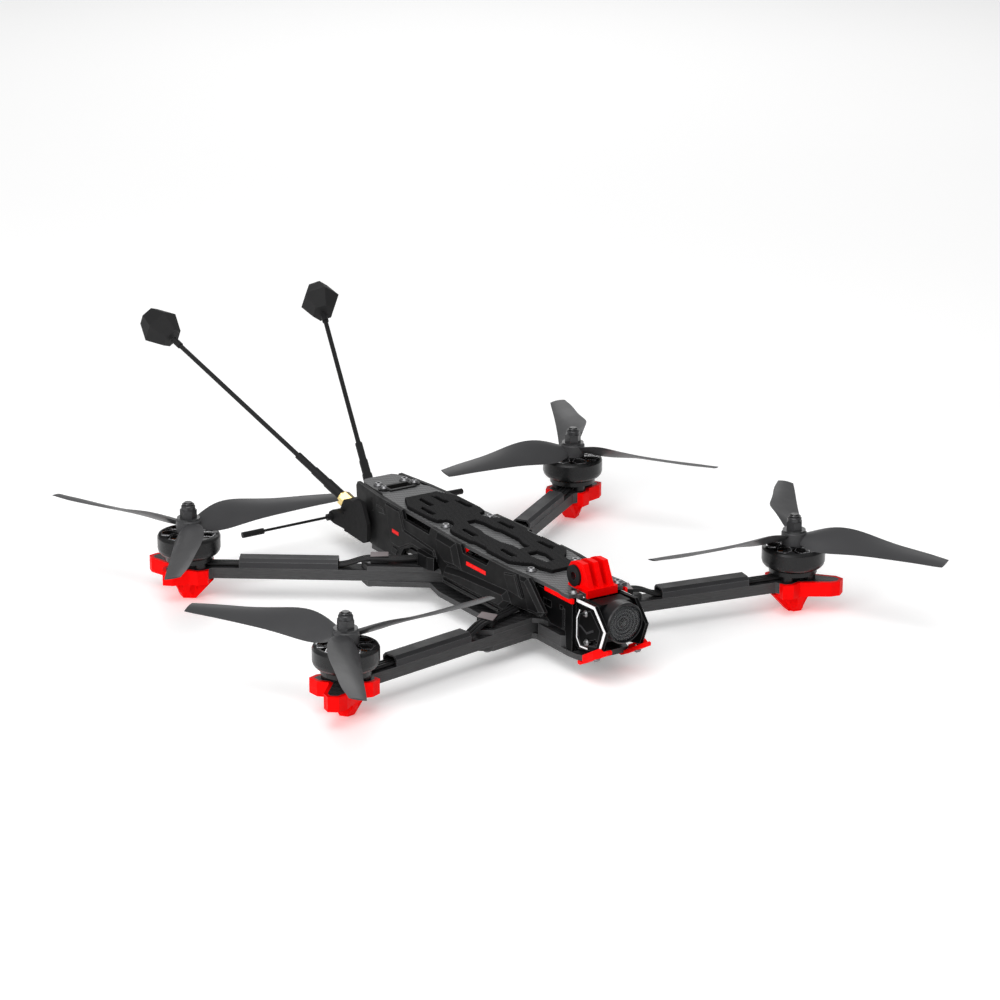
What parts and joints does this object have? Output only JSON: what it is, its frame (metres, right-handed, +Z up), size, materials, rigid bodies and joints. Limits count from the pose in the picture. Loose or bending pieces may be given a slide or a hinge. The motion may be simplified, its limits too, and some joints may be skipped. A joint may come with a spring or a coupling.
{
  "type": "fpv racing drone",
  "caption": "Long-range FPV racing quadcopter: carbon sandwich frame, faceted side covers, tri-blade propellers, tilting nose camera, tail antennas.",
  "frame": {"origin": "middle of the bottom plate's flat underside, on the left-right symmetry plane and midway between the front and rear motor axes", "axes": "+Z up, the nose and camera point along -Y, +X is the drone's left side"},
  "size_m": [0.3855, 0.4488, 0.1119],
  "materials": {
    "carbon": "satin woven carbon fibre laminate",
    "black_aluminium": "black anodised",
    "rubber_pad": "ribbed matte rubber",
    "cover_plastic": "fine matte moulded",
    "nose_plastic": "matte moulded",
    "red_tpu": "printed flexible, fine layer lines",
    "black_nylon": "satin",
    "camera_plastic": "matte",
    "lens_metal": "black anodised, turned",
    "lens_glass": "coated glass",
    "steel_screw": "bright button heads",
    "black_tpu": "printed flexible",
    "antenna_sleeve": "heat-shrink sleeve",
    "antenna_plastic": "fine matte moulded",
    "brass": "machined",
    "gold": "gold plated",
    "wire_silicone": "satin silicone",
    "circuit_board": "solder mask",
    "heatsink": "black anodised, finned",
    "capacitor_sleeve": "shrink sleeve",
    "motor_black": "satin black anodised",
    "copper": "enamelled windings",
    "propeller_plastic": "smooth smoky moulded plastic",
    "nut_black": "black anodised"
  },
  "bodies": {
    "frame": {"bottom_plate": "carbon", "mid_plate": "carbon", "top_plate": "carbon", "front_spacer": "carbon", "frame_standoffs": "black_aluminium", "battery_pad": "rubber_pad", "side_cover_left": "cover_plastic", "side_cover_right": "cover_plastic", "nose_plate_left": "nose_plastic", "nose_plate_right": "nose_plastic", "nose_panel_left": "nose_plastic", "nose_panel_right": "nose_plastic", "nose_bumper_left": "red_tpu", "nose_bumper_right": "red_tpu", "nose_insert": "red_tpu", "action_camera_mount": "red_tpu", "action_camera_nut": "black_nylon", "antenna_mount": "black_tpu", "video_antenna_left": "antenna_sleeve", "video_antenna_right": "antenna_sleeve", "antenna_heads": "antenna_plastic", "sma_connectors": "brass", "receiver_whips": "antenna_sleeve", "power_connector": "black_nylon", "power_contacts": "gold", "power_leads": "wire_silicone", "speed_controller": "circuit_board", "flight_controller": "circuit_board", "stack_hardware": "black_nylon", "video_transmitter": "heatsink", "capacitor": "capacitor_sleeve", "motor_wires": "wire_silicone", "wire_covers": "cover_plastic", "motor_bases": "motor_black", "motor_stators": "copper", "frame_screws": "steel_screw", "arm_front_left": "carbon", "foot_front_left": "red_tpu", "arm_front_right": "carbon", "foot_front_right": "red_tpu", "arm_rear_left": "carbon", "foot_rear_left": "red_tpu", "arm_rear_right": "carbon", "foot_rear_right": "red_tpu"},
    "camera": {"camera_body": "camera_plastic", "lens_barrel": "lens_metal", "lens_glass": "lens_glass", "camera_screws": "steel_screw"},
    "rotor_front_left": {"motor_bell_front_left": "motor_black", "propeller_front_left": "propeller_plastic", "prop_nut_front_left": "nut_black"},
    "rotor_front_right": {"motor_bell_front_right": "motor_black", "propeller_front_right": "propeller_plastic", "prop_nut_front_right": "nut_black"},
    "rotor_rear_left": {"motor_bell_rear_left": "motor_black", "propeller_rear_left": "propeller_plastic", "prop_nut_rear_left": "nut_black"},
    "rotor_rear_right": {"motor_bell_rear_right": "motor_black", "propeller_rear_right": "propeller_plastic", "prop_nut_rear_right": "nut_black"}
  },
  "joints": [
    {"name": "camera_tilt", "type": "hinge", "parent": "frame", "child": "camera", "pos_m": [0, -0.1217, 0.0264], "axis": [-1, 0, 0], "range_deg": [0, 30]},
    {"name": "spin_front_left", "type": "hinge", "parent": "frame", "child": "rotor_front_left", "pos_m": [0.1398, -0.0952, 0.02], "axis": [0, 0, 1], "continuous": true},
    {"name": "spin_front_right", "type": "hinge", "parent": "frame", "child": "rotor_front_right", "pos_m": [-0.1398, -0.0952, 0.02], "axis": [0, 0, 1], "continuous": true},
    {"name": "spin_rear_left", "type": "hinge", "parent": "frame", "child": "rotor_rear_left", "pos_m": [0.1254, 0.0952, 0.02], "axis": [0, 0, 1], "continuous": true},
    {"name": "spin_rear_right", "type": "hinge", "parent": "frame", "child": "rotor_rear_right", "pos_m": [-0.1254, 0.0952, 0.02], "axis": [0, 0, 1], "continuous": true}
  ]
}
